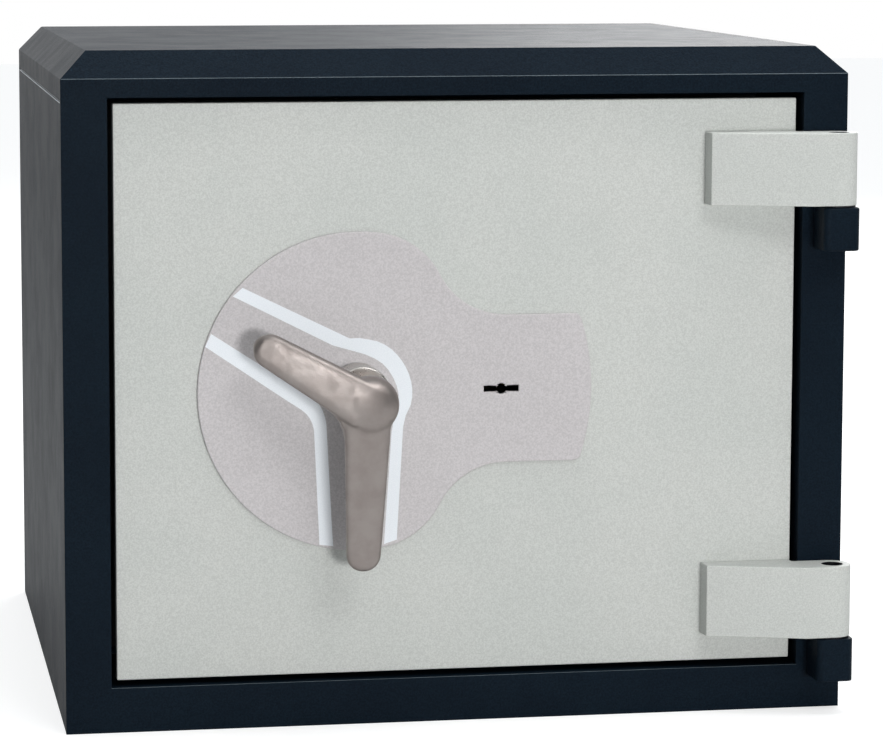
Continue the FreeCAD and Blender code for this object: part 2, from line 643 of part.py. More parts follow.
# Guides that carry the bolts, fixed to the mechanism plate.
side_guides = []
for level, height in side_heights.items():
    block = box(f"side_guide_block_{level}",
                ("pan_sheet - plug_half", "pan_sheet - plug_half + guide_width"),
                ("mech_back", "guide_y"), (f"{height} - 16", f"{height} + 16"))
    bore = rod(f"side_guide_bore_{level}", "x", ("-plug_half", "bolt_y", height),
               "guide_width + 4", "side_bolt + shaft_clearance")
    side_guides.append(cut(f"side_guide_{level}", block, bore))
node("lateral_guides", group("side_guide_set", *side_guides))

end_guides = []
for name, x, z in (("top", "top_link_x", ("plug_top - 23.5", "plug_top - 9.5")),
                   ("bottom", "bottom_link_x", ("plug_bottom + 9.5", "plug_bottom + 23.5"))):
    block = box(f"{name}_guide_block", (f"{x} - 14", f"{x} + 14"), ("mech_back", "guide_y"), z)
    bore = rod(f"{name}_guide_bore", "z", (x, "bolt_y", f"{z[0]} - 1"), "16",
               "end_bolt + shaft_clearance")
    end_guides.append(cut(f"{name}_guide", block, bore))
node("upright_guides", group("end_guide_set", *end_guides))

dogs = []
for level, height in side_heights.items():
    stem = rod(f"dog_stem_{level}", "x", ("plug_half - pan_sheet", "bolt_y", height),
               "pan_sheet + plug_inset + jamb_sheet + dog_reach", "dog_radius")
    head = rod(f"dog_head_{level}", "x", ("plug_half - pan_sheet - 6", "bolt_y", height), "6",
               "dog_radius + 4")
    dogs.append(fuse(f"dog_{level}", stem, head))
node("fixed_hinge_bolts", group("dog_set", *dogs))

# Lock: a case that the key drum and the levers sit in.
lock_outer = (("lock_left", "lock_right"), ("mech_back", "lock_back"),
              ("lock_bottom", "lock_top"))
node("lock_case", cut("case_cut", box("case_block", *lock_outer),
                      box("case_room", ("lock_left + lock_wall", "lock_right - lock_wall"),
                          ("mech_back + lock_wall", "lock_back + 1"),
                          ("lock_bottom + lock_wall", "lock_top - lock_wall")),
                      door_bore("case_drum", "key_x", "key_z", "drum_radius + 3",
                                start="mech_back - 1", stop="mech_back + lock_wall + 1"),
                      box("case_slot",
                          ("lock_x - lock_bolt_width / 2 - 0.5",
                           "lock_x + lock_bolt_width / 2 + 0.5"),
                          ("lock_bolt_front - 0.5", "lock_bolt_back + 0.5"),
                          ("lock_bottom - 1", "lock_bottom + lock_wall + 1"))))
node("lever_post", rod("lever_post_bar", "y", ("lever_x", "mech_back + lock_wall", "lever_z"),
                       "lock_depth - lock_wall", "lever_pin"))
lock_corners = [(x, z) for x in ("lock_left + 5", "lock_right - 5")
                for z in ("lock_bottom + 5", "lock_top - 5")]
node("lock_cover", cut("lock_cover_cut",
                       box("lock_cover_block", lock_outer[0], ("lock_back", "lock_back + 1.5"),
                           lock_outer[2]),
                       *[rod(f"lock_cover_hole_{i}", "y", (x, "lock_back - 1", z), "4",
                             "screw_radius")
                         for i, (x, z) in enumerate(lock_corners)]))
node("lock_screws", group("lock_screw_set",
                          *[screw(f"lock_screw_{i}", x, z, "lock_back + 1.5", "1.5 + 4")
                            for i, (x, z) in enumerate(lock_corners)]))

# ---------------------------------------------------------------- handle


def tapered_arm(name, length, root, tip, angle):
    """One arm of the lever, narrower and nearer the door at its tip."""
    outline = prism(name + "_outline_pad", "XZ_Plane",
                    [(f"-{root}", "0"), (f"-{tip}", f"-({length} - 9)"),
                     (f"-{tip} + 2.5", f"-({length} - 3)"), (f"-{tip} + 5.5", f"-{length}"),
                     (f"{tip} - 5.5", f"-{length}"), (f"{tip} - 2.5", f"-({length} - 3)"),
                     (tip, f"-({length} - 9)"), (root, "0")],
                    ("0", "hub_front - 5", "0"), "hub_length + 10")
    side = prism(name + "_side_pad", "YZ_Plane",
                 [("hub_front", "0"), ("hub_front", "-hub_radius"),
                  ("arm_tip_front", f"-{length} + 4"), ("arm_tip_front + 2", f"-{length}"),
                  ("arm_tip_front + arm_tip_thickness", f"-{length}"),
                  ("hub_front + arm_root_back", "0")],
                 ("-40", "0", "0"), "80")
    arm = common(name, outline, side)
    arm.Placement = FreeCAD.Placement(Vector(), Rotation(Vector(0, 1, 0), angle))
    place(arm, "spindle_x", "0", "spindle_height")
    return arm


dome = doc.addObject("Part::Cone", "hub_dome_cap")
dome.Placement = FreeCAD.Placement(Vector(), TURNS["y"])
bind(dome, "Radius1", "hub_radius - 5")
bind(dome, "Radius2", "hub_radius")
bind(dome, "Height", "hub_dome")
place(dome, "spindle_x", "hub_front - hub_dome", "spindle_height")
hub = spindle_bore("hub_bar", "hub_radius", start="hub_front", stop="hub_back")
node("handle_lever", cut("lever_cut",
                         fuse("lever_solid", hub, dome,
                              tapered_arm("long_arm_solid", "long_arm", "long_root", "long_tip",
                                          0),
                              tapered_arm("short_arm_solid", "short_arm", "short_root",
                                          "short_tip", size("short_arm_angle"))),
                         spindle_bore("hub_bore", "spindle_radius",
                                      start="hub_front + 7", stop="hub_back + 1")))

node("spindle", spindle_bore("spindle_bar", "spindle_radius", start="hub_front + 7",
                             stop="disc_back + 1.6"))
node("crank_disc", cut("crank_cut",
                       spindle_bore("crank_bar", "crank_radius", start="disc_front",
                                    stop="disc_back"),
                       spindle_bore("crank_bore", "spindle_radius", start="disc_front - 1",
                                    stop="disc_back + 1")))
node("spindle_circlip", cut("circlip_cut",
                            spindle_bore("circlip_ring", "spindle_radius + 1.5",
                                         start="disc_back + 0.1", stop="disc_back + 1.1"),
                            spindle_bore("circlip_bore", "spindle_radius",
                                         start="disc_back", stop="disc_back + 1.2")))
node("crank_pins", group("crank_pin_set",
                         door_bore("side_crank_pin", "side_pin_x", "side_pin_z", "crank_pin",
                                   start="disc_back", stop="bar_back + 0.5"),
                         door_bore("top_crank_pin", "top_pin_x", "top_pin_z", "crank_pin",
                                   start="disc_back", stop="link_back + 0.5"),
                         door_bore("bottom_crank_pin", "bottom_pin_x", "bottom_pin_z",
                                   "crank_pin", start="disc_back", stop="link_back + 0.5")))

# ---------------------------------------------------------------- side bolts
bar_y = ("bar_front", "bar_back")
bolts = []
bolt_screws = []
screw_x = "bar_x + bar_width / 2"


def bolt_screw_bore(name, x, z):
    """The hole of the screw that ties a bolt to its bar or link."""
    return door_bore(name, x, z, "screw_radius", start="bolt_y - 14", stop="bolt_y + 14")


for level, height in side_heights.items():
    body = rod(f"side_bolt_bar_{level}", "x", ("side_bolt_end", "bolt_y", height),
               "side_bolt_root - side_bolt_end", "side_bolt")
    slot = box(f"side_bolt_slot_{level}", ("bar_x", "side_bolt_root + 1"), bar_y,
               (f"{height} - 12", f"{height} + 12"))
    bolts.append(cut(f"side_bolt_{level}", body, slot,
                     bolt_screw_bore(f"side_bolt_screw_hole_{level}", screw_x, height)))
    bolt_screws.append(screw(f"side_bolt_screw_{level}", screw_x, height,
                             "bolt_y + side_bolt", "side_bolt * 2 - 1"))
node("lateral_bolts", group("side_bolt_set", *bolts))
node("lateral_bolt_screws", group("side_screw_set", *bolt_screws))

upright = box("bar_upright", ("bar_x", "bar_right"), bar_y,
              ("low_bolt_z - 18", "high_bolt_z + 18"))
tail = box("bar_tail", ("bar_x", "lock_x + lock_bolt_width / 2 + bolt_throw + 7"), bar_y,
           ("arm_bottom", "arm_top"))
raised = box("bar_tab", ("side_pin_x - slot_half - 5", "side_pin_x + slot_half + 5"), bar_y,
             ("arm_bottom", "tab_top"))
pin_slot = box("bar_pin_slot", ("side_pin_x - slot_half", "side_pin_x + slot_half"),
               ("bar_front - 1", "bar_back + 1"),
               ("side_pin_z - slot_reach - slot_half", "side_pin_z + slot_half"))
notches = [box(f"bar_notch_{i}",
               (f"lock_x - lock_bolt_width / 2 - 0.5 + {shift}",
                f"lock_x + lock_bolt_width / 2 + 0.5 + {shift}"),
               ("bar_front - 1", "bar_back + 1"), ("arm_top - key_throw", "arm_top + 1"))
           for i, shift in enumerate(("0", "bolt_throw"))]
node("lateral_bolt_bar", cut("bar_cut", fuse("bar_solid", upright, tail, raised),
                             pin_slot, *notches,
                             *[bolt_screw_bore(f"bar_screw_hole_{level}", screw_x, height)
                               for level, height in side_heights.items()]))

# ---------------------------------------------------------------- end bolts
link_y = ("link_front", "link_back")
for name, x, pin_z, bolt_span, slot_span, link_span in (
        ("top", "top_link_x", "top_pin_z", ("plug_top - 69.5", "plug_top + bolt_rest"),
         ("plug_top - 70.5", "plug_top - 47.5"),
         ("top_pin_z - slot_half - 5", "plug_top - 47.5")),
        ("bottom", "bottom_link_x", "bottom_pin_z",
         ("plug_bottom - bolt_rest", "plug_bottom + 69.5"),
         ("plug_bottom + 47.5", "plug_bottom + 70.5"),
         ("plug_bottom + 47.5", "bottom_pin_z + slot_half + 5"))):
    screw_z = "plug_top - 58.5" if name == "top" else "plug_bottom + 58.5"
    bolt = rod(f"{name}_bolt_bar", "z", (x, "bolt_y", bolt_span[0]),
               f"({bolt_span[1]}) - ({bolt_span[0]})", "end_bolt")
    fork = box(f"{name}_bolt_fork", (f"{x} - 12", f"{x} + 12"), link_y, slot_span)
    node(f"{name}_bolt", cut(f"{name}_bolt_cut", bolt, fork,
                             bolt_screw_bore(f"{name}_bolt_hole", x, screw_z)))
    strip = box(f"{name}_link_strip", (f"{x} - link_width / 2", f"{x} + link_width / 2"), link_y,
                link_span)
    slot = box(f"{name}_link_slot",
               (f"{x} - slot_reach / 2 - slot_half", f"{x} + slot_reach / 2 + slot_half"),
               ("link_front - 1", "link_back + 1"),
               (f"{pin_z} - slot_half", f"{pin_z} + slot_half"))
    node(f"{name}_bolt_link", cut(f"{name}_link_cut", strip, slot,
                                  bolt_screw_bore(f"{name}_link_hole", x, screw_z)))
    node(f"{name}_bolt_screw", screw(f"{name}_bolt_screw_solid", x, screw_z,
                                     "bolt_y + end_bolt", "end_bolt * 2 - 1"))

# ---------------------------------------------------------------- lock works
drum_neck = door_bore("drum_neck", "key_x", "key_z", "drum_radius",
                      start="mech_front + 0.1", stop="drum_back")
drum_collar = door_bore("drum_collar", "key_x", "key_z", "drum_radius + 2",
                        start="mech_back + 0.1", stop="drum_back")
node("key_drum", cut("drum_cut", fuse("drum_solid", drum_neck, drum_collar),
                     *key_hole("drum_key", start="mech_front - 1", stop="drum_back - 2")))
drum_pin_x = "key_x - key_throw / 2"
drum_pin_z = "key_z + key_throw / 2"
node("key_drum_pin", door_bore("drum_pin", drum_pin_x, drum_pin_z, "2",
                               start="drum_back", stop="lock_bolt_back + 0.5"))
lock_bolt_y = ("lock_bolt_front", "lock_bolt_back")
bolt_stem = box("lock_bolt_stem", ("lock_x - lock_bolt_width / 2", "lock_x + lock_bolt_width / 2"),
                lock_bolt_y, ("arm_top + 2", "key_z + 17"))
bolt_head = box("lock_bolt_head", ("lock_x - lock_bolt_width / 2", "key_x + 4.5"), lock_bolt_y,
                ("key_z - 3", "key_z + 17"))
bolt_slot = box("lock_bolt_slot",
                ("key_x - drum_crank - 2.5", "key_x - key_throw / 2 + 2.5"),
                ("lock_bolt_front - 1", "lock_bolt_back + 1"),
                ("key_z + key_throw / 2 - 2.4", "key_z + key_throw / 2 + 2.4"))
node("lock_bolt", cut("lock_bolt_cut", fuse("lock_bolt_solid", bolt_stem, bolt_head), bolt_slot))

levers = []
for i in range(5):
    start = f"lock_bolt_back + 1.2 + {i} * lever_sheet"
    leaf = box(f"lever_leaf_{i}", ("lock_left + 8", "lever_x + 6"),
               (start, f"{start} + lever_sheet"), ("lever_z - 9", "lever_z + 8"))
    hole = door_bore(f"lever_hole_{i}", "lever_x", "lever_z", "lever_pin + shaft_clearance",
                     start=f"{start} - 1", stop=f"{start} + lever_sheet + 1")
    levers.append(cut(f"lever_{i}", leaf, hole))
node("lock_levers", group("lever_set", *levers))

# ---------------------------------------------------------------- export
doc.recompute()
for item in doc.Objects:
    if {"Invalid", "Error"} & set(item.State):
        raise RuntimeError(f"{item.Name} did not rebuild: {item.State}")
os.makedirs("parts", exist_ok=True)
for name, feature in NODES.items():
    shape = feature.Shape
    if shape.isNull() or not shape.isValid():
        raise RuntimeError(f"{name} has no valid shape")
    shape.exportStep(f"parts/{name}.step")
    print(f"{name}: {len(shape.Solids)} solid(s), {shape.Volume:.0f} mm3")
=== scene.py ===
"""A compact key-locking fire safe: light grey door in an anthracite body.

Metres, in the part's frame: X to the right, Y to the back, Z up, origin under the body's centre.
Each section makes one piece or a group of like pieces, in the order of assembly.
"""
import math
import bmesh
import bpy
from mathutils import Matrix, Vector
from mathutils.geometry import tessellate_polygon


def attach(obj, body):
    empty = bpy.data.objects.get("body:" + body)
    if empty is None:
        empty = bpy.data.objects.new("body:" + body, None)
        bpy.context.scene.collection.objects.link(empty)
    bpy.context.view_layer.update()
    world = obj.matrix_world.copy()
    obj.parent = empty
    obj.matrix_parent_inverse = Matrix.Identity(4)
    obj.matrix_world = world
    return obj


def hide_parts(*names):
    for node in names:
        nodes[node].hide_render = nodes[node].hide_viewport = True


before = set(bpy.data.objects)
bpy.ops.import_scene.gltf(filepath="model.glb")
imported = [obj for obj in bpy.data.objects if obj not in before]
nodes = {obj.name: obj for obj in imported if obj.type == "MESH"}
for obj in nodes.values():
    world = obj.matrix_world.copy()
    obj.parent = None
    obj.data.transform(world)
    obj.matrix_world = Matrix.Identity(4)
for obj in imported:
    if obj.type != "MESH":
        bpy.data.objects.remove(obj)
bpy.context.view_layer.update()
scene = bpy.context.scene
MM = 0.001

# ------------------------------------------------------------------------------------------ camera
# A long lens a little above and to the left of the safe, so that the front, the top and the
# left side show. The small shift places the safe in the frame.
view = bpy.data.cameras.new("camera")
view.lens = 136.22
view.sensor_width = 36.0
view.shift_x = 0.10
view.shift_y = -0.10
view.dof.use_dof = False
camera = bpy.data.objects.new("camera", view)
camera.location = (-0.34608, -2.02448, 0.45641)
turn, tilt = 0.1551, 0.1120
heading = Vector((math.sin(turn) * math.cos(tilt), math.cos(turn) * math.cos(tilt),
                  -math.sin(tilt)))
camera.rotation_euler = heading.to_track_quat("-Z", "Y").to_euler()
scene.collection.objects.link(camera)
scene.camera = camera
scene.view_settings.view_transform = "Standard"


# ------------------------------------------------------------------------------------------ studio
# A white backdrop behind the safe, in a room that is dim in front of it. Polarisers keep the
# key and top lights out of reflections, and the two gloss lights and the rim light show in
# reflections only.
def colour(code):
    """Linear RGBA of an sRGB hex colour."""
    channels = [int(code[i:i + 2], 16) / 255 for i in (1, 3, 5)]
    return tuple(c / 12.92 if c <= 0.04045 else ((c + 0.055) / 1.055) ** 2.4
                 for c in channels) + (1.0,)


def add(tree, kind, inputs=None, **settings):
    """Adds one shader or geometry node; an input may be a value or another node's socket."""
    made = tree.nodes.new(kind)
    for key, value in settings.items():
        setattr(made, key, value)
    for key, value in (inputs or {}).items():
        if isinstance(value, bpy.types.NodeSocket):
            tree.links.new(value, made.inputs[key])
        else:
            made.inputs[key].default_value = value
    return made


world = bpy.data.worlds.new("studio")
scene.world = world
world.use_nodes = True
sky = world.node_tree
seen = sky.nodes["Background"]
seen.inputs["Color"].default_value = colour("#ffffff")
seen.inputs["Strength"].default_value = 1.0
# The room's own light: dim in front, brighter behind and overhead.
toward = add(sky, "ShaderNodeTexCoord")
parts = add(sky, "ShaderNodeSeparateXYZ", {0: toward.outputs["Generated"]})
level = add(sky, "ShaderNodeMapRange", {"Value": parts.outputs["Y"], "From Min": -0.7,
                                        "From Max": 0.9, "To Min": 0.09, "To Max": 0.74},
            interpolation_type="SMOOTHSTEP")
above = add(sky, "ShaderNodeMapRange", {"Value": parts.outputs["Z"], "From Min": 0.55,
                                        "From Max": 1.0, "To Min": 0.0, "To Max": 0.6},
            interpolation_type="SMOOTHSTEP")
level = add(sky, "ShaderNodeMath", {0: level.outputs["Result"], 1: above.outputs["Result"]})
around = add(sky, "ShaderNodeBackground", {"Color": colour("#ebf1f5"),
                                           "Strength": level.outputs[0]})
# The camera and glass see plain white all round. Reflections show it behind the safe only.
behind = add(sky, "ShaderNodeMapRange", {"Value": parts.outputs["Y"], "From Min": 0.0,
                                         "From Max": 1.0}, interpolation_type="SMOOTHSTEP")
path = add(sky, "ShaderNodeLightPath")
mirrored = add(sky, "ShaderNodeMath", {0: path.outputs["Is Glossy Ray"],
                                       1: behind.outputs["Result"]}, operation="MULTIPLY")
direct = add(sky, "ShaderNodeMath", {0: path.outputs["Is Camera Ray"],
                                     1: path.outputs["Is Transmission Ray"]},
             operation="MAXIMUM")
white = add(sky, "ShaderNodeMath", {0: direct.outputs[0], 1: mirrored.outputs[0]},
            operation="MAXIMUM")
either = add(sky, "ShaderNodeMixShader", {0: white.outputs[0], 1: around.outputs[0],
                                          2: seen.outputs[0]})
sky.links.new(either.outputs[0], sky.nodes["World Output"].inputs["Surface"])


def soft_light(name, spot, target, width, height, power):
    """A rectangular soft box that points at a spot on the object."""
    lamp = bpy.data.lights.new(name, "AREA")
    lamp.shape = "RECTANGLE"
    lamp.size = width
    lamp.size_y = height
    lamp.energy = power
    holder = bpy.data.objects.new(name, lamp)
    holder.location = spot
    holder.rotation_euler = (Vector(target) - Vector(spot)).to_track_quat("-Z", "Y").to_euler()
    scene.collection.objects.link(holder)
    return holder


door_middle = (0.0, -0.2, 0.2)
key = soft_light("key_light", (0.64, -4.2, 0.26), door_middle, 0.7, 0.6, 94)
key.visible_glossy = False
gloss = soft_light("gloss_light", (-0.55, -2.5, 0.75), door_middle, 0.7, 0.5, 12.5)
gloss.visible_diffuse = False
low_gloss = soft_light("low_gloss_light", (0.5, -2.6, 0.0), door_middle, 0.8, 0.6, 0.6)
low_gloss.visible_diffuse = False
soft_light("high_light", (0.5, -1.7, 1.7), (0.0, -0.2, 0.25), 0.8, 0.6, 10.5)
top = soft_light("top_light", (0.1, 0.0, 2.2), (0.0, 0.0, 0.38), 1.3, 1.3, 38)
top.visible_glossy = False
rim = soft_light("rim_light", (1.0, -1.4, 1.5), (-0.06, -0.24, 0.2), 0.7, 0.2, 5)
rim.visible_diffuse = False
soft_light("rear_light", (1.2, 2.4, 1.5), (0.0, 0.1, 0.2), 1.4, 1.0, 26)


# ------------------------------------------------------------------------------------------- floor
# Matt pale board. The camera and glass see it with white light added, so that it joins the
# backdrop and keeps only the safe's faint shadow. Reflections show a quarter of that light.
def material(name):
    """A new material, its node tree, its shader and object coordinates in millimetres."""
    made = bpy.data.materials.new(name)
    made.use_nodes = True
    tree = made.node_tree
    shader = tree.nodes["Principled BSDF"]
    where = add(tree, "ShaderNodeTexCoord")
    scaled = add(tree, "ShaderNodeVectorMath", {0: where.outputs["Object"], 3: 1000.0},
                 operation="SCALE")
    return made, tree, shader, scaled.outputs[0]


ground, tree, shader, where = material("pale_floor")
shader.inputs["Base Color"].default_value = colour("#b6b6b6")
shader.inputs["Roughness"].default_value = 0.9
floor_mesh = bpy.data.meshes.new("floor")
floor_mesh.from_pydata([(-8, -8, 0), (8, -8, 0), (8, 8, 0), (-8, 8, 0)], [], [(0, 1, 2, 3)])
floor_mesh.materials.append(ground)
floor = bpy.data.objects.new("floor", floor_mesh)
scene.collection.objects.link(floor)
added_white = 0.67
share_in_reflections = 0.25
glow = add(tree, "ShaderNodeEmission", {"Color": colour("#ffffff"), "Strength": added_white})
lit = add(tree, "ShaderNodeAddShader", {0: shader.outputs[0], 1: glow.outputs[0]})
path = add(tree, "ShaderNodeLightPath")
faint = add(tree, "ShaderNodeMath", {0: path.outputs["Is Glossy Ray"], 1: share_in_reflections},
            operation="MULTIPLY")
direct = add(tree, "ShaderNodeMath", {0: path.outputs["Is Camera Ray"], 1: faint.outputs[0]},
             operation="MAXIMUM")
shown = add(tree, "ShaderNodeMath", {0: direct.outputs[0], 1: path.outputs["Is Transmission Ray"]},
            operation="MAXIMUM")
chosen = add(tree, "ShaderNodeMixShader", {0: shown.outputs[0], 1: shader.outputs[0],
                                           2: lit.outputs[0]})
tree.links.new(chosen.outputs[0], tree.nodes["Material Output"].inputs["Surface"])


# -------------------------------------------------------------------------------------- body skins
# Folded 3 mm steel sheet, welded to the front frame and coated with fine-textured anthracite
# powder. The cover's skirt meets the casing in a seam groove. Paler paint along the lower half of
# the front fold and on the casing's upper edge at the seam draws painted highlight lines there;
# the fold's coat is also smoother from rubbing.
def place(name, mesh, body, paint, cad=()):
    """Puts a mesh in the scene as a piece that rides on a body and stands for CAD nodes."""
    piece = bpy.data.objects.new(name, mesh)
    scene.collection.objects.link(piece)
    mesh.materials.clear()
    mesh.materials.append(paint)
    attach(piece, body)
    if cad:
        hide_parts(*cad)
    return piece


def settle(piece):
    """Replaces a piece's mesh with the result of its modifiers."""
    graph = bpy.context.evaluated_depsgraph_get()
    made = bpy.data.meshes.new_from_object(piece.evaluated_get(graph))
    piece.modifiers.clear()
    piece.data = made
    return piece


def flattened(given, mesh):
    """Writes a mesh with its corners joined and its flat triangles merged into whole faces."""
    shape = bmesh.new()
    shape.from_mesh(given)
    bmesh.ops.remove_doubles(shape, verts=shape.verts, dist=2e-6)
    bmesh.ops.dissolve_limit(shape, angle_limit=math.radians(0.6), verts=shape.verts,
                             edges=shape.edges)
    shape.to_mesh(mesh)
    shape.free()
    return mesh


def softened(name, node, body, paint, width, segments=2):
    """One or more CAD nodes' shape as one skin, hard edges eased as by pressing and coating."""
    hard_edge = math.radians(30)
    names = (node,) if isinstance(node, str) else node
    parts = [flattened(nodes[part].data, bpy.data.meshes.new(name)) for part in names]
    piece = place(name, parts[0], body, paint, names)
    for extra in parts[1:]:
        other = bpy.data.objects.new("welded_on", extra)
        scene.collection.objects.link(other)
        weld = piece.modifiers.new("weld", "BOOLEAN")
        weld.operation = "UNION"
        weld.object = other
        settle(piece)
        bpy.data.objects.remove(other)
    if len(parts) > 1:
        flattened(piece.data, piece.data)
    for face in piece.data.polygons:
        face.use_smooth = True
    piece.data.set_sharp_from_angle(angle=hard_edge)
    bevel = piece.modifiers.new("eased_edges", "BEVEL")
    bevel.width = width
    bevel.segments = segments
    bevel.limit_method = "ANGLE"
    bevel.angle_limit = hard_edge
    bevel.harden_normals = True
    bevel.use_clamp_overlap = True
    return settle(piece)


# Baked powder: a satin face with a fine rounded grain that breaks up its shine. The real grain
# is about 0.2 mm across; it is drawn 0.8 to 1.2 mm across, as coarse as it needs to show.
def powder_coat(name, base, shade, rough_low, rough_high, grain, depth, shine=0.4,
                fleck="#e9e9e9"):
    """Epoxy-polyester powder: tiny rounded grain, faint cloudiness and light handling marks."""
    made, tree, shader, where = material(name)
    # Cloudy patches 70 mm across shift the tone from the base to the shade.
    cloud = add(tree, "ShaderNodeTexNoise", {"Vector": where, "Scale": 1 / 70.0, "Detail": 4.0,
                                             "Roughness": 0.55})
    patch = add(tree, "ShaderNodeMapRange", {"Value": cloud.outputs["Fac"], "From Min": 0.3,
                                             "From Max": 0.7}, interpolation_type="SMOOTHSTEP")
    tone = add(tree, "ShaderNodeMix", {0: patch.outputs["Result"], 6: colour(base),
                                       7: colour(shade)}, data_type="RGBA")
    # The beads of the grain are a shade darker than the rest.
    bead = add(tree, "ShaderNodeTexNoise", {"Vector": where, "Scale": 1 / grain, "Detail": 2.0,
                                            "Roughness": 0.6})
    dark = add(tree, "ShaderNodeMapRange", {"Value": bead.outputs["Fac"], "From Min": 0.3,
                                            "From Max": 0.7}, interpolation_type="SMOOTHSTEP")
    grainy = add(tree, "ShaderNodeMix", {0: dark.outputs["Result"], 6: tone.outputs[2],
                                         7: colour(fleck)}, data_type="RGBA",
                 blend_type="MULTIPLY")
    tree.links.new(grainy.outputs[2], shader.inputs["Base Color"])
    # Marks of handling, 30 mm across, vary the polish.
    smear = add(tree, "ShaderNodeTexNoise", {"Vector": where, "Scale": 1 / 30.0, "Detail": 5.0,
                                             "Roughness": 0.6})
    polish = add(tree, "ShaderNodeMapRange", {"Value": smear.outputs["Fac"], "From Min": 0.3,
                                              "From Max": 0.75, "To Min": rough_low,
                                              "To Max": rough_high},
                 interpolation_type="SMOOTHSTEP")
    tree.links.new(polish.outputs["Result"], shader.inputs["Roughness"])
    shader.inputs["Specular IOR Level"].default_value = shine
    # Beads stand proud, over a slower waviness four grains across.
    fine = add(tree, "ShaderNodeBump", {"Height": bead.outputs["Fac"], "Strength": 0.6,
                                        "Distance": depth})
    wave = add(tree, "ShaderNodeTexNoise", {"Vector": where, "Scale": 1 / (grain * 4.0),
                                            "Detail": 1.0, "Roughness": 0.5})
    peel = add(tree, "ShaderNodeBump", {"Height": wave.outputs["Fac"], "Strength": 0.25,
                                        "Distance": depth * 2.0, "Normal": fine.outputs[0]})
    tree.links.new(peel.outputs[0], shader.inputs["Normal"])
    return made


# Near black with a blue cast and little shine, so the sides stay dark and even.
anthracite = powder_coat("anthracite_powder_coat", "#0e1923", "#111d27", 0.42, 0.48, 1.1,
                         0.00035, 0.07, "#bfc6cc")
# Pale paint on the casing's upper edge at the seam: a painted highlight, the light line that this
# edge shows.
seam_highlight_paint = powder_coat("painted_seam_highlight", "#b9c0c6", "#a3abb2", 0.35, 0.45, 1.1,
                        0.00005)
casing = softened("outer_casing_skin", "outer_casing", "cabinet", anthracite, 0.0008)
casing.data.materials.append(seam_highlight_paint)
# Painted highlight: faces of the casing's upper edge that turn upwards take the pale paint.
for face in casing.data.polygons:
    seam_highlight_face = face.normal.z > 0.2 and abs(face.normal.x) > 0.2
    if seam_highlight_face:
        face.material_index = 1

softened("back_panel_skin", "back_panel", "cabinet", anthracite, 0.0008)
shell = softened("cover_and_frame_skin", ("front_frame", "top_cover"), "cabinet", anthracite,
                 0.0016, 3)
# Smoother along the lower half of the front fold, rubbed by hands and cloths; the paler colour
# there is a painted highlight, a fine light line along the fold.
fold_wear_and_highlight = powder_coat("fold_wear_and_painted_highlight", "#48555c", "#535f66", 0.3, 0.4, 1.1, 0.00008)
shell.data.materials.append(fold_wear_and_highlight)
for face in shell.data.polygons:
    away = face.normal
    # Painted highlight: only the fold's lower, front-facing half takes the paler paint.
    lower_half_of_fold = away.y < -0.2 and away.z > 0.09 and abs(away.z / away.y) < 0.84
    if lower_half_of_fold and abs(away.x) < 0.09:
        face.material_index = 1


# --------------------------------------------------------------------------- inner liner and shelf
# Sheet steel walls round the storage space and a plain bent shelf on welded brackets, all in
# smooth grey stove enamel: an even, slightly glossy face with hardly any grain.
def paint_nodes(paint, *names):
    """Gives CAD nodes that show as they are a material."""
    for name in names:
        nodes[name].data.materials.clear()
        nodes[name].data.materials.append(paint)


# Mid grey and even, with a soft sheen.
enamel = powder_coat("grey_stove_enamel", "#a9adab", "#a1a6a4", 0.42, 0.5, 1.2, 0.00002)
paint_nodes(enamel, "inner_liner", "shelf", "shelf_brackets")


# ----------------------------------------------------------------------------------------- filling
# Fire-resisting concrete cast behind the body's skins and in the door. It is never seen, and
# has the dull, mottled face of a cast mix.
concrete, tree, shader, where = material("cast_concrete_fill")
stones = add(tree, "ShaderNodeTexNoise", {"Vector": where, "Scale": 1 / 9.0, "Detail": 6.0,
                                          "Roughness": 0.5})
mottle = add(tree, "ShaderNodeMix", {0: stones.outputs["Fac"], 6: colour("#8f8c84"),
                                     7: colour("#a5a299")}, data_type="RGBA")
tree.links.new(mottle.outputs[2], shader.inputs["Base Color"])
shader.inputs["Roughness"].default_value = 0.95
paint_nodes(concrete, "barrier_fill", "door_barrier")


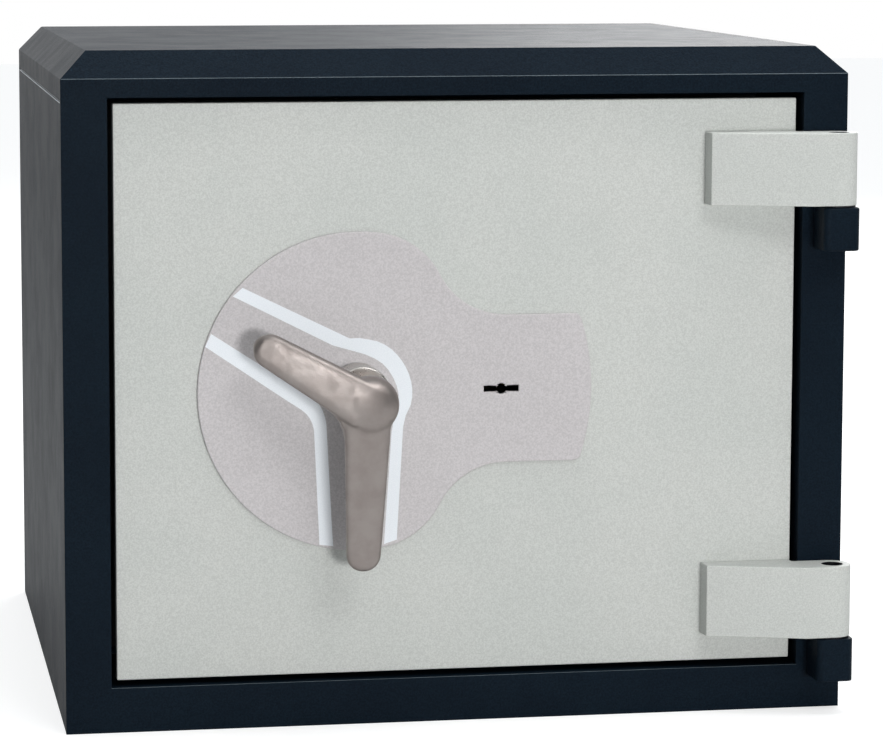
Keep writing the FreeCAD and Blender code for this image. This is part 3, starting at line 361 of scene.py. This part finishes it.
# ---------------------------------------------------------------------------------- anchor sleeves
# Steel tubes through the walls for the floor and wall anchors, zinc plated: a pale, slightly
# cloudy metal.
def bright_metal(name, base, shade, rough_low, rough_high, stretch, depth):
    """Worked metal: drawn or brushed streaks, slight staining and uneven polish."""
    made, tree, shader, where = material(name)
    # Tool marks; a stretch above one makes them finer along that axis. Real ones are a few
    # hundredths of a millimetre apart, and they are drawn 1.6 mm apart or less.
    drawn_out = add(tree, "ShaderNodeVectorMath", {0: where, 1: stretch}, operation="MULTIPLY")
    streak = add(tree, "ShaderNodeTexNoise", {"Vector": drawn_out.outputs[0], "Scale": 1 / 1.6,
                                              "Detail": 5.0, "Roughness": 0.65})
    stain = add(tree, "ShaderNodeTexNoise", {"Vector": where, "Scale": 1 / 24.0, "Detail": 4.0,
                                             "Roughness": 0.6})
    patch = add(tree, "ShaderNodeMapRange", {"Value": stain.outputs["Fac"], "From Min": 0.3,
                                             "From Max": 0.7}, interpolation_type="SMOOTHSTEP")
    tone = add(tree, "ShaderNodeMix", {0: patch.outputs["Result"], 6: colour(base),
                                       7: colour(shade)}, data_type="RGBA")
    tree.links.new(tone.outputs[2], shader.inputs["Base Color"])
    shader.inputs["Metallic"].default_value = 1.0
    polish = add(tree, "ShaderNodeMapRange", {"Value": streak.outputs["Fac"], "From Min": 0.3,
                                              "From Max": 0.7, "To Min": rough_low,
                                              "To Max": rough_high},
                 interpolation_type="SMOOTHSTEP")
    tree.links.new(polish.outputs["Result"], shader.inputs["Roughness"])
    bump = add(tree, "ShaderNodeBump", {"Height": streak.outputs["Fac"], "Strength": 0.3,
                                        "Distance": depth})
    tree.links.new(bump.outputs[0], shader.inputs["Normal"])
    return made


# Pale, slightly yellowish grey with cloudy patches.
zinc = bright_metal("zinc_plated_steel", "#b9bab2", "#a9aaa2", 0.3, 0.45, (1, 1, 1), 0.00003)
paint_nodes(zinc, "anchor_sleeves")


# ------------------------------------------------------------------------- hinge knuckles and pins
# Square steel knuckles welded to the frame and coated with it. Each holds an oil-blackened
# steel pin and a thrust washer: dark metal with a dull shine.
for side in ("upper", "lower"):
    softened(f"{side}_knuckle_body", f"{side}_hinge_knuckle", "cabinet", anthracite,
             0.0011, 3)
# Nearly black, with a dull grey shine.
hardened = bright_metal("oil_blackened_steel_and_painted_shade", "#34353a", "#2b2c30", 0.35, 0.5, (1, 1, 1),
                        0.00003)
paint_nodes(hardened, "hinge_washers", "lower_hinge_pin", "upper_hinge_pin")


# --------------------------------------------------------------------------------------- door seal
# Extruded black rubber pressed onto the frame's rear flange, with the grey bloom that rubber
# gets in store.
rubber, tree, shader, where = material("extruded_rubber")
bloom = add(tree, "ShaderNodeTexNoise", {"Vector": where, "Scale": 1 / 12.0, "Detail": 4.0,
                                         "Roughness": 0.6})
patch = add(tree, "ShaderNodeMapRange", {"Value": bloom.outputs["Fac"], "From Min": 0.3,
                                         "From Max": 0.7}, interpolation_type="SMOOTHSTEP")
tone = add(tree, "ShaderNodeMix", {0: patch.outputs["Result"], 6: colour("#17181a"),
                                   7: colour("#222326")}, data_type="RGBA")
tree.links.new(tone.outputs[2], shader.inputs["Base Color"])
skin = add(tree, "ShaderNodeTexNoise", {"Vector": where, "Scale": 1 / 2.5, "Detail": 3.0,
                                        "Roughness": 0.5})
dull = add(tree, "ShaderNodeMapRange", {"Value": skin.outputs["Fac"], "From Min": 0.3,
                                        "From Max": 0.7, "To Min": 0.52, "To Max": 0.68},
           interpolation_type="SMOOTHSTEP")
tree.links.new(dull.outputs["Result"], shader.inputs["Roughness"])
paint_nodes(rubber, "door_seal")


# ------------------------------------------------------------------------------ door plate and pan
# Flat 8 mm plate set back in the frame, in light grey fine-textured powder, with the enamelled
# pan of the bolt space welded behind it.

# Pale, cool and matt, with a grain that only shows close up.
light_grey = powder_coat("light_grey_powder_coat", "#c9cbc7", "#c5c8c4", 0.5, 0.62, 0.8, 0.00009)
softened("door_front", "door_plate", "door", light_grey, 0.0007)
softened("door_pan_skin", "door_pan", "door", enamel, 0.0005)


# -------------------------------------------------------------------------------------- hinge arms
# Solid arms welded to the door, coated with it, with bronze-coloured brass bushes pressed in.
# The walls of the pin bores take dark steel as painted shade, so that the deep holes read black.

# Warm yellow metal with fine rings round whatever is turned about a front-to-back axis.
brass = bright_metal("turned_brass", "#bf9b55", "#a98646", 0.22, 0.36, (1, 6, 1), 0.00002)
paint_nodes(brass, "hinge_bushes")
bore_reach = 0.0063
for side in ("upper", "lower"):
    arm = softened(f"{side}_arm_body", f"{side}_hinge_arm", "door", light_grey,
                   0.0011, 3)
    arm.data.materials.append(hardened)
    pin = [vert.co for vert in nodes[f"{side}_hinge_pin"].data.vertices]
    pin_x = (min(co.x for co in pin) + max(co.x for co in pin)) / 2
    pin_y = (min(co.y for co in pin) + max(co.y for co in pin)) / 2
    # Painted shade: the bore walls round each pin get the dark steel.
    for face in arm.data.polygons:
        from_pin = math.hypot(face.center.x - pin_x, face.center.y - pin_y)
        if abs(face.normal.z) < 0.5 and from_pin < bore_reach:
            face.material_index = 1


# ------------------------------------------------------------------- mechanism plate and hardplate
# The zinc plated plate that carries the boltwork and the four pillars for the rear cover, the
# drill-resisting hardened plate in front of the lock, and the tube that guides the key.
paint_nodes(zinc, "mechanism_plate", "boltwork_pillars")
# The key guide takes the dark steel as painted shade, which keeps the keyhole black.
paint_nodes(hardened, "hardplate", "key_guide")


# ---------------------------------------------------------------------------------------- boltwork
# Bright steel bolts in zinc plated guides, moved by a crank disc on the handle's spindle,
# which turns in brass bushes. The bars and links are screwed to the bolts.

# Cool bright steel. Its fine streaks run along the upright bolts and round the side bolts.
drawn = bright_metal("bright_drawn_steel", "#b4b5b8", "#a4a5a9", 0.2, 0.34, (8, 1, 1), 0.00002)
paint_nodes(drawn, "lateral_bolts", "top_bolt", "bottom_bolt", "fixed_hinge_bolts", "spindle")
paint_nodes(brass, "spindle_bushes")
paint_nodes(zinc, "lateral_guides", "upright_guides", "crank_disc", "crank_pins",
            "spindle_circlip", "lateral_bolt_bar", "lateral_bolt_screws", "top_bolt_link",
            "top_bolt_screw", "bottom_bolt_link", "bottom_bolt_screw")


# -------------------------------------------------------------------------------------------- lock
# Plated case and cover held by four screws. Inside are a brass key drum, five brass levers on
# a post and the drawn steel lock bolt.
paint_nodes(zinc, "lock_case", "lock_cover", "lever_post", "lock_screws", "key_drum_pin")
paint_nodes(brass, "key_drum", "lock_levers")
paint_nodes(drawn, "lock_bolt")


# -------------------------------------------------------------------------------------- rear cover
# Flat cover of enamelled steel sheet that closes the bolt space at the back of the door. It
# lies on the pan's lips and the four pillars and is screwed to them.
softened("rear_cover_skin", "rear_cover", "door", enamel, 0.0005)


# ------------------------------------------------------------------------------- rear cover screws
# Zinc plated pan-head screws with a cross recess, through the cover into lips and pillars, each
# stopped at a turn of its own. The recess is cut in one model, which is then placed eight times.
spots = []
head_reach = 0.006
for vert in nodes["rear_cover_screws"].data.vertices:
    for spot in spots:
        if max(abs(spot[0] - vert.co.x), abs(spot[1] - vert.co.z)) < head_reach:
            spot[2].append(vert.co)
            break
    else:
        spots.append((vert.co.x, vert.co.z, [vert.co]))
tip_y = min(co.y for spot in spots for co in spot[2])
head_y = max(co.y for spot in spots for co in spot[2])
length = (head_y - tip_y) / MM
turned = bmesh.new()
facets = 32
# Radius and height of the shank, the head's rim and its dome, in millimetres.
profile = [(0.05, 0), (1.9, 0), (1.95, length - 1.85), (3.6, length - 1.8), (3.85, length - 1.5),
           (3.7, length - 0.9), (3.1, length - 0.4), (2.0, length - 0.12), (0.05, length)]
rows = [[turned.verts.new((r * MM * math.cos(2 * math.pi * i / facets),
                           r * MM * math.sin(2 * math.pi * i / facets), z * MM))
         for i in range(facets)] for r, z in profile]
for low, high in zip(rows, rows[1:]):
    for i in range(facets):
        j = (i + 1) % facets
        turned.faces.new((low[i], low[j], high[j], high[i]))
turned.faces.new(rows[0][::-1])
turned.faces.new(rows[-1])
screw_mesh = bpy.data.meshes.new("pan_head_screw")
turned.to_mesh(screw_mesh)
turned.free()
screw = bpy.data.objects.new("pan_head_screw", screw_mesh)
scene.collection.objects.link(screw)
for width, depth in ((3.8, 0.9), (0.9, 3.8)):
    # One wing of the driver's bit, which narrows towards its tip.
    bit = bmesh.new()
    bmesh.ops.create_cube(bit, size=1.0)
    for vert in bit.verts:
        vert.co = (vert.co.x * width * MM * (1.15 if vert.co.z > 0 else 0.45),
                   vert.co.y * depth * MM * (1.1 if vert.co.z > 0 else 0.8),
                   (length - 1.25 if vert.co.z < 0 else length + 0.5) * MM)
    bit_mesh = bpy.data.meshes.new("driver_bit")
    bit.to_mesh(bit_mesh)
    bit.free()
    cutter = bpy.data.objects.new("driver_bit", bit_mesh)
    scene.collection.objects.link(cutter)
    recess = screw.modifiers.new("recess", "BOOLEAN")
    recess.operation = "DIFFERENCE"
    recess.object = cutter
    settle(screw)
    bpy.data.objects.remove(cutter)
points_mesh = bpy.data.meshes.new("screw_holes")
points_mesh.from_pydata([((min(c.x for c in group) + max(c.x for c in group)) / 2, tip_y,
                          (min(c.z for c in group) + max(c.z for c in group)) / 2)
                         for _, _, group in spots], [], [])
screws = bpy.data.objects.new("screw_holes", points_mesh)
scene.collection.objects.link(screws)
tree = bpy.data.node_groups.new("driven_screws", "GeometryNodeTree")
tree.is_modifier = True
for label, kind, value in (("Geometry", "NodeSocketGeometry", None), ("Seed", "NodeSocketInt", 7),
                           ("Largest turn", "NodeSocketFloat", 1.5)):
    socket = tree.interface.new_socket(label, in_out="INPUT", socket_type=kind)
    if value is not None:
        socket.default_value = value
tree.interface.new_socket("Geometry", in_out="OUTPUT", socket_type="NodeSocketGeometry")
given = tree.nodes.new("NodeGroupInput")
model = add(tree, "GeometryNodeObjectInfo", {"Object": screw})
dots = add(tree, "GeometryNodeMeshToPoints", {"Mesh": given.outputs["Geometry"]})
angle = add(tree, "FunctionNodeRandomValue", {"Seed": given.outputs["Seed"]}, data_type="FLOAT")
tree.links.new(given.outputs["Largest turn"], angle.inputs[3])
spin = add(tree, "ShaderNodeCombineXYZ", {"Z": angle.outputs[1]})
held = add(tree, "GeometryNodeInstanceOnPoints", {
    "Points": dots.outputs[0], "Instance": model.outputs["Geometry"]})
laid = add(tree, "GeometryNodeRotateInstances", {"Instances": held.outputs[0]})
laid.inputs["Rotation"].default_value = (math.radians(-90), 0, 0)
twist = add(tree, "GeometryNodeRotateInstances", {"Instances": laid.outputs[0],
                                                  "Rotation": spin.outputs[0]})
real = add(tree, "GeometryNodeRealizeInstances", {0: twist.outputs[0]})
coated = add(tree, "GeometryNodeSetMaterial", {"Geometry": real.outputs[0], "Material": zinc})
add(tree, "NodeGroupOutput", {"Geometry": coated.outputs[0]})
driven = screws.modifiers.new("driven_screws", "NODES")
driven.node_group = tree
screws_mesh = settle(screws).data
bpy.data.objects.remove(screws)
bpy.data.objects.remove(screw)
place("cover_screws", screws_mesh, "door", zinc, ("rear_cover_screws",))


# -------------------------------------------------------------------------------------- escutcheon
# Thin pressed steel cover with a rolled edge, a disc that flows into a tab, in warm grey satin
# lacquer: smooth, with a very faint grain. Its outline is drawn in millimetres from the
# handle's axis.
AXIS_X, AXIS_Z = -0.0580, 0.189
PLATE_FRONT, PLATE_BACK = -0.1975, -0.1955


def arc(cx, cz, radius, start, end, steps):
    """Points on an arc, with angles in degrees."""
    angles = [math.radians(start + (end - start) * i / steps) for i in range(steps + 1)]
    return [(cx + radius * math.cos(a), cz + radius * math.sin(a)) for a in angles]


# Radii of the disc, its two lobes, the scoops that lead into the tab and the tab's corners.
disc, lobe, scoop, corner = 90, 45, 42, 4.5
lobe_turn = 81
tab_reach, tab_half, tab_sag = 134, 42, 7
lobe_x = lobe * math.cos(math.radians(lobe_turn))
lobe_z = lobe * math.sin(math.radians(lobe_turn))
scoop_z = tab_half + scoop
scoop_x = lobe_x + math.sqrt((lobe + scoop) ** 2 - (scoop_z - lobe_z) ** 2)
bend = math.degrees(math.atan2(scoop_z - lobe_z, scoop_x - lobe_x))
bulge = (tab_half ** 2 + tab_sag ** 2) / (2 * tab_sag)
corner_z = tab_half - corner
corner_x = tab_reach - bulge + math.sqrt((bulge - corner) ** 2 - corner_z ** 2)
corner_turn = math.degrees(math.asin(corner_z / (bulge - corner)))
outline = (arc(0, 0, disc, lobe_turn, 360 - lobe_turn, 96)
           + arc(lobe_x, -lobe_z, lobe, -lobe_turn, -bend, 20)[1:]
           + arc(scoop_x, -scoop_z, scoop, 180 - bend, 90, 24)[1:]
           + arc(corner_x, -corner_z, corner, -90, -corner_turn, 8)
           + arc(tab_reach - bulge, 0, bulge, -corner_turn, corner_turn, 16)[1:-1]
           + arc(corner_x, corner_z, corner, corner_turn, 90, 8)
           + arc(scoop_x, scoop_z, scoop, 270, 180 + bend, 24)[:-1]
           + arc(lobe_x, lobe_z, lobe, bend, lobe_turn, 20)[:-1])


def shrunk(loop, amount):
    """A closed loop moved inwards by an amount; counter-clockwise loops shrink."""
    moved = []
    count = len(loop)
    for i, (x, z) in enumerate(loop):
        ahead = Vector(loop[(i + 1) % count]) - Vector((x, z))
        behind = Vector((x, z)) - Vector(loop[i - 1])
        along = (ahead.normalized() + behind.normalized()).normalized()
        moved.append((x - along.y * amount, z + along.x * amount))
    return moved


def sheet_piece(name, loops, front, back, edge, steps=3):
    """A flat piece in the door's plane with a rounded front edge; later loops are holes."""
    verts = []
    faces = []
    rings = []
    for loop in loops:
        levels = [(0.0, back)] + [(edge * (1 - math.cos(math.radians(90 * s / steps))),
                                   front + edge * (1 - math.sin(math.radians(90 * s / steps))))
                                  for s in range(steps + 1)]
        ring_set = []
        for amount, depth in levels:
            start = len(verts)
            for x, z in shrunk(loop, amount / MM):
                verts.append((AXIS_X + x * MM, depth, AXIS_Z + z * MM))
            ring_set.append(start)
        count = len(loop)
        for low, high in zip(ring_set, ring_set[1:]):
            for i in range(count):
                j = (i + 1) % count
                faces.append((low + i, low + j, high + j, high + i))
        rings.append((ring_set, count))
    for level in (-1, 0):
        order = [r[0][level] + i for r in rings for i in range(r[1])]
        flat = [[Vector((verts[r[0][level] + i][0], verts[r[0][level] + i][2], 0))
                 for i in range(r[1])] for r in rings]
        for triangle in tessellate_polygon(flat):
            faces.append(tuple(order[i] for i in triangle))
    mesh = bpy.data.meshes.new(name)
    mesh.from_pydata(verts, [], faces)
    shape = bmesh.new()
    shape.from_mesh(mesh)
    bmesh.ops.remove_doubles(shape, verts=shape.verts, dist=1e-7)
    bmesh.ops.recalc_face_normals(shape, faces=shape.faces)
    shape.to_mesh(mesh)
    shape.free()
    for face in mesh.polygons:
        face.use_smooth = abs(face.normal.y) < 0.999
    return mesh


# The slot's place, half length and half height, and where its round middle meets it.
key_x, slot_end, slot_half, round_x = 82, 10.0, 1.7, 2.47
key_hole = ([(key_x + slot_end, slot_half), (key_x + round_x, slot_half)]
            + arc(key_x, 0, 3, 34.5, 145.5, 10)
            + [(key_x - round_x, slot_half), (key_x - slot_end, slot_half),
               (key_x - slot_end, -slot_half), (key_x - round_x, -slot_half)]
            + arc(key_x, 0, 3, 214.5, 325.5, 10)
            + [(key_x + round_x, -slot_half), (key_x + slot_end, -slot_half)])
# A shade warmer than the door, which sets the cover apart from it.
warm_grey = powder_coat("warm_grey_satin_lacquer", "#c7c3c4", "#c3bfc0", 0.42, 0.5, 0.9, 0.00002)
rolled_edge = 0.0008
# Known fault: the spindle's hole isn't cut here, so the spindle goes through the sheet, behind
# the boss.
pressing = sheet_piece("escutcheon_plate", [outline, key_hole[::-1]], PLATE_FRONT, PLATE_BACK,
                       rolled_edge)
place("escutcheon_plate", pressing, "door", warm_grey, ("escutcheon",))


# ----------------------------------------------------------------------------------- printed bands
# Two pale bands screen printed on the cover, one round each side of the handle. The ink lies
# 0.06 mm proud and is slightly glossier than the lacquer. Its screen's weave is drawn 0.5 mm
# across, coarser than the real one.
ink, tree, shader, where = material("pale_blue_white_print")
screen = add(tree, "ShaderNodeTexNoise", {"Vector": where, "Scale": 1 / 0.5, "Detail": 2.0,
                                          "Roughness": 0.5})
patch = add(tree, "ShaderNodeMapRange", {"Value": screen.outputs["Fac"], "From Min": 0.4,
                                         "From Max": 0.6}, interpolation_type="SMOOTHSTEP")
tone = add(tree, "ShaderNodeMix", {0: patch.outputs["Result"], 6: colour("#e6eaee"),
                                   7: colour("#dfe4e9")}, data_type="RGBA")
tree.links.new(tone.outputs[2], shader.inputs["Base Color"])
shader.inputs["Roughness"].default_value = 0.4
outer_side = [(-64.5, 59.6), (-4.5, 30.2), (1.2, 30.3), (6.2, 29.4), (11.0, 28.3), (15.5, 26.3),
              (19.3, 23.6), (22.6, 20.3), (25.2, 17.0), (27.4, 13.3), (29.2, 9.3), (30.5, 5.0),
              (31.1, 0.6), (31.0, -3.8), (30.2, -8.2), (27.4, -14.0), (25.9, -20.6),
              (22.4, -84.5)]
inner_side = [(-70.0, 54.9), (-14.0, 26.4), (-7.6, 24.5), (-1.4, 22.7), (4.6, 20.9),
              (10.2, 18.3), (14.2, 15.6), (17.3, 12.2), (20.2, 7.6), (22.3, 2.7),
              (23.4, -2.4), (22.8, -8.6), (20.6, -15.6), (19.3, -23.6), (15.1, -86.9)]
bands = {"outer_band": outer_side + inner_side[::-1],
         "inner_band": [(-82.1, 34.2), (-31.7, 1.1), (-24.2, -4.2), (-21.6, -6.8),
                        (-19.7, -10.2), (-18.4, -13.8), (-17.6, -17.8), (-14.4, -78.4),
                        (-13.8, -87.2), (-21.6, -86.2), (-24.6, -21.1), (-25.5, -17.6),
                        (-26.9, -14.6), (-29.0, -11.8), (-31.8, -9.4), (-40.5, -3.7),
                        (-85.4, 27.0)]}
ink_height, ink_root, ink_edge = 0.00006, 0.0004, 0.00002
for name, loop in bands.items():
    turning = sum(a[0] * b[1] - b[0] * a[1] for a, b in zip(loop, loop[1:] + loop[:1]))
    ordered = loop if turning > 0 else loop[::-1]
    place(name, sheet_piece(name, [ordered], PLATE_FRONT - ink_height, PLATE_FRONT + ink_root,
                            ink_edge, 1), "door", ink)


# ------------------------------------------------------------------------------------- handle boss
# Turned, polished and nickel plated boss, which carries the lever clear of the cover plate. It
# is brighter than the lever.

# Warm bright nickel with hardly a mark.
polished = bright_metal("polished_nickel_boss", "#c9c5c0", "#bdb8b3", 0.26, 0.36, (1, 1, 1),
                        0.00001)
softened("boss_turning", "handle_boss", "door", polished, 0.0012, 3)


# ------------------------------------------------------------------------------------ handle lever
# Zinc casting in satin nickel: a domed hub with a long arm down and a short arm up to the left.
# Bead blasting gives it a soft shine with a fine, even grain, drawn 0.9 mm across, which is
# several times coarser than the real one.
nickel, tree, shader, where = material("satin_nickel_casting")
blast = add(tree, "ShaderNodeTexNoise", {"Vector": where, "Scale": 1 / 0.9, "Detail": 3.0,
                                         "Roughness": 0.6})
cloud = add(tree, "ShaderNodeTexNoise", {"Vector": where, "Scale": 1 / 14.0, "Detail": 4.0,
                                         "Roughness": 0.55})
patch = add(tree, "ShaderNodeMapRange", {"Value": cloud.outputs["Fac"], "From Min": 0.3,
                                         "From Max": 0.7}, interpolation_type="SMOOTHSTEP")
tone = add(tree, "ShaderNodeMix", {0: patch.outputs["Result"], 6: colour("#9b928e"),
                                   7: colour("#a59d99")}, data_type="RGBA")
tree.links.new(tone.outputs[2], shader.inputs["Base Color"])
shader.inputs["Metallic"].default_value = 1.0
wear = add(tree, "ShaderNodeTexNoise", {"Vector": where, "Scale": 1 / 5.0, "Detail": 4.0,
                                        "Roughness": 0.5})
polish = add(tree, "ShaderNodeMapRange", {"Value": wear.outputs["Fac"], "From Min": 0.3,
                                          "From Max": 0.7, "To Min": 0.38, "To Max": 0.50},
             interpolation_type="SMOOTHSTEP")
tree.links.new(polish.outputs["Result"], shader.inputs["Roughness"])
bump = add(tree, "ShaderNodeBump", {"Height": blast.outputs["Fac"], "Strength": 0.35,
                                    "Distance": 0.0001})
tree.links.new(bump.outputs[0], shader.inputs["Normal"])


def tube(shape, rings):
    """Joins rings of points into a closed skin."""
    rows = [[shape.verts.new(p) for p in ring] for ring in rings]
    count = len(rows[0])
    for low, high in zip(rows, rows[1:]):
        for i in range(count):
            j = (i + 1) % count
            shape.faces.new((low[i], low[j], high[j], high[i]))
    shape.faces.new(rows[0][::-1])
    shape.faces.new(rows[-1])


def rounded_section(centre, across, half_width, front_depth, back_depth):
    """A ring across an arm: flat face with a tight edge in front, rounder at the back."""
    ring = []
    count = 56
    for i in range(count):
        c = math.cos(2 * math.pi * i / count)
        s = math.sin(2 * math.pi * i / count)
        power, depth = (4.0, front_depth) if s < 0 else (2.3, back_depth)
        u = math.copysign(abs(c) ** (2 / power), c) * half_width
        w = math.copysign(abs(s) ** (2 / power), s) * depth
        ring.append(centre + across * u + Vector((0, w, 0)))
    return ring


hub_centre = Vector((AXIS_X, 0, AXIS_Z))
lever = bmesh.new()
# Root's offset from the axis, direction in degrees, length, half widths at root and tip, and
# the depth of the front face at the root.
arms = ((-0.1, 0.0, -90.7, 96.7, 13.4, 9.3, -241.2),
        (-1.4, -2.3, 149.7, 69.2, 13.3, 8.9, -243.9))
# Sections along an arm, how far it runs into the hub, the depth of the front face at the tip,
# and how far back the front edges round over.
stations, overlap, tip_face, front_round = 48, 9.0, -229.2, 4.2
for start_x, start_z, angle, length, root, tip, face in arms:
    start = hub_centre + Vector((start_x * MM, 0, start_z * MM))
    along = Vector((math.cos(math.radians(angle)), 0, math.sin(math.radians(angle))))
    across = Vector((along.z, 0, -along.x))
    rings = []
    for i in range(stations + 1):
        reach = -overlap + (length + overlap) * (1 - (1 - i / stations) ** 1.35)
        end = math.sqrt(max(0.0, 1 - (1 - min(1.0, (length - reach) / tip)) ** 2))
        part = max(reach, 0.0) / length
        fade = min(1.0, max(0.0, (1.0 - reach) / 10.0))
        half = (root + (tip - root) * part) * max(end, 0.02) * (1 - 0.35 * fade)
        rim = 1 - min(1.0, (length - reach) / 3.6)
        lift = 3.4 * (1 - math.sqrt(1 - rim ** 2))
        widest = face + (tip_face - face) * part ** 1.15 + 5.0 * fade + front_round
        rings.append(rounded_section(start + along * reach * MM + Vector((0, widest * MM, 0)),
                                     across, half * MM, (front_round - lift) * MM,
                                     (13.0 - 6.8 * part) * (0.45 + 0.55 * end) * MM))
    tube(lever, rings)
# Radius and depth of the hub, from its neck to the dome.
profile = [(11.8, -216.0), (12.0, -222.0), (14.2, -226.5), (16.0, -230.5), (16.2, -235.5),
           (15.6, -238.4), (14.2, -240.6), (12.0, -242.2), (9.0, -243.4), (5.0, -244.2),
           (0.6, -244.5)]
hub_x, hub_z, hub_facets = 1.2, -2.0, 56
tube(lever, [[Vector((AXIS_X + (hub_x + r * math.cos(2 * math.pi * i / hub_facets)) * MM,
                      depth * MM,
                      AXIS_Z + (hub_z + r * math.sin(2 * math.pi * i / hub_facets)) * MM))
              for i in range(hub_facets)] for r, depth in profile])
# A web fills the corner between the arms.
web = [(0, 0), (0, -24), (-11.6, -24), (-13.0, -17), (-15.4, -11.4), (-19.4, -6.8), (-25, -2.4)]
tube(lever, [[hub_centre + Vector((x * MM, depth * MM, z * MM)) for x, z in web]
             for depth in (-224.0, -236.8)])
bmesh.ops.recalc_face_normals(lever, faces=lever.faces)
lever_mesh = bpy.data.meshes.new("lever_casting")
lever.to_mesh(lever_mesh)
lever.free()
casting = place("lever_casting", lever_mesh, "handle", nickel, ("handle_lever",))
merge = casting.modifiers.new("one_skin", "REMESH")
merge.mode = "VOXEL"
merge.voxel_size = 0.0007
merge.use_smooth_shade = True
ease = casting.modifiers.new("cast_fillets", "SMOOTH")
ease.factor = 0.5
ease.iterations = 26
settle(casting)
for face in casting.data.polygons:
    face.use_smooth = True
